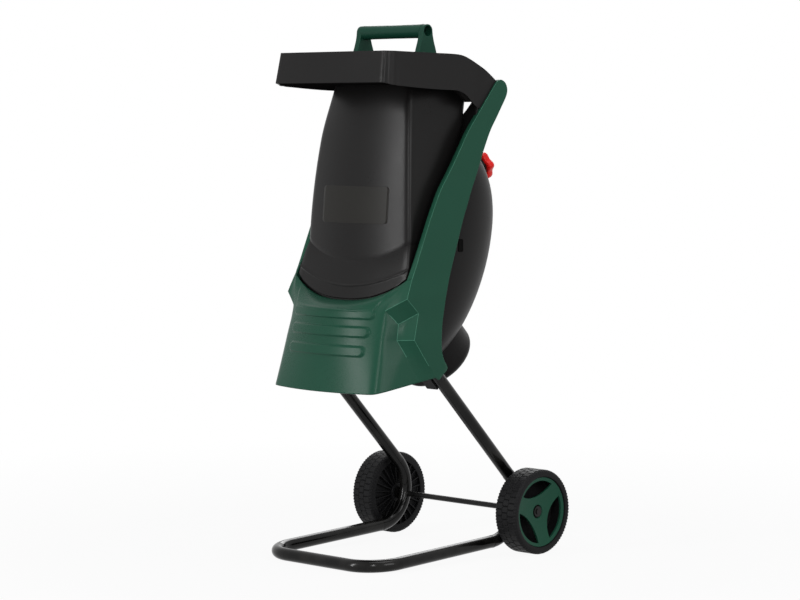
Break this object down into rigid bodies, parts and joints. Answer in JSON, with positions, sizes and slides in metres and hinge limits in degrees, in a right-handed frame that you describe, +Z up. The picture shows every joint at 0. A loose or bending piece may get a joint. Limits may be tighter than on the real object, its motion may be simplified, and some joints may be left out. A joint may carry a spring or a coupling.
{
  "type": "garden shredder",
  "caption": "Upright electric garden shredder on a wheeled tube frame: tall feed hopper with a lift-out plunger, tilting front cover with discharge chute, disc cutter geared to a motor.",
  "frame": {"origin": "on the floor, below the middle of the overall box", "axes": "+X to the machine's right seen from the front, +Y to the back, +Z up; the front with the discharge chute faces -Y"},
  "size_m": [0.4, 0.445, 0.931],
  "materials": {
    "tube_black": "gloss black powder coat",
    "steel": "plain bright steel",
    "wheel_black": "satin moulding with moulded tread",
    "green_plastic": "fine-grained satin moulding",
    "black_plastic": "fine-grained matte moulding",
    "cast_cover": "die casting",
    "motor_steel": "dip-coated steel case",
    "lamination": "stacked sheet",
    "copper": "varnished winding",
    "brass": "drawn brass",
    "switch_black": "matte",
    "tool_steel": "ground tool steel",
    "fan_plastic": "matte",
    "hopper_black": "fine-grained matte moulding",
    "knob_red": "semi-gloss red moulding",
    "button_green": "gloss",
    "button_red": "gloss"
  },
  "bodies": {
    "base": {"frame_tube": "tube_black", "axle": "steel", "axle_washers": "steel", "axle_caps": "steel", "base_housing": "black_plastic", "tube_screws": "steel", "hinge_pins": "steel", "rear_shell": "black_plastic", "shell_screws": "steel", "gear_cover": "cast_cover", "gear_cover_screws": "steel", "motor_case": "motor_steel", "motor_cap": "black_plastic", "stator": "lamination", "field_coils": "copper", "brush_holders": "brass", "spindle_bearings": "steel", "armature_bearings": "steel", "switch_box": "switch_black", "mains_inlet": "switch_black"},
    "hopper_unit": {"feed_column": "hopper_black", "feed_rim": "hopper_black", "rim_cheeks": "hopper_black", "front_cover": "green_plastic", "throat": "black_plastic", "counter_blade": "tool_steel", "lock_keeper": "black_plastic", "cover_screws": "steel"},
    "plunger": {"plunger_handle": "green_plastic", "plunger_paddle": "black_plastic"},
    "wheel_left": {"wheel_left": "wheel_black", "hub_cover_left": "green_plastic"},
    "wheel_right": {"wheel_right": "wheel_black", "hub_cover_right": "green_plastic"},
    "cutter": {"spindle": "steel", "blade_disc": "tool_steel", "blades": "tool_steel", "blade_screws": "tool_steel", "cutter_nut": "steel", "drive_gear": "steel"},
    "armature": {"armature_shaft": "steel", "armature_core": "lamination", "commutator": "copper", "cooling_fan": "fan_plastic", "pinion": "steel"},
    "lock_knob": {"lock_knob": "knob_red", "lock_screw": "steel"},
    "start_button": {"start_button": "button_green"},
    "stop_button": {"stop_button": "button_red"}
  },
  "joints": [
    {"name": "hopper_tilt", "type": "hinge", "parent": "base", "child": "hopper_unit", "pos_m": [0, -0.07418, 0.38611], "axis": [1, 0, 0], "range_deg": [0, 28]},
    {"name": "plunger_lift", "type": "slide", "parent": "hopper_unit", "child": "plunger", "axis": [0, 0, 1], "range_m": [0, 0.3]},
    {"name": "wheel_left_spin", "type": "hinge", "parent": "base", "child": "wheel_left", "pos_m": [0, 0.1475, 0.075], "axis": [1, 0, 0], "continuous": true},
    {"name": "wheel_right_spin", "type": "hinge", "parent": "base", "child": "wheel_right", "pos_m": [0, 0.1475, 0.075], "axis": [1, 0, 0], "continuous": true},
    {"name": "cutter_spin", "type": "hinge", "parent": "base", "child": "cutter", "pos_m": [0, -0.066, 0.432], "axis": [0, -0.7009, 0.7133], "continuous": true},
    {"name": "armature_spin", "type": "hinge", "parent": "base", "child": "armature", "pos_m": [0, -0.0339, 0.46354], "axis": [0, -0.7009, 0.7133], "continuous": true},
    {"name": "lock_turn", "type": "hinge", "parent": "base", "child": "lock_knob", "pos_m": [0, 0.198, 0.68], "axis": [0, 0.9336, 0.3584], "range_deg": [0, 1080]},
    {"name": "start_press", "type": "slide", "parent": "base", "child": "start_button", "axis": [0, -0.9703, 0.2419], "range_m": [0, 0.004], "stiffness_N_per_m": 400, "springref_m": -0.002},
    {"name": "stop_press", "type": "slide", "parent": "base", "child": "stop_button", "axis": [0, -0.9703, 0.2419], "range_m": [0, 0.004], "stiffness_N_per_m": 400, "springref_m": -0.002}
  ],
  "couplings": [
    {"joint": "armature_spin", "follows": "cutter_spin", "ratio": -3}
  ]
}
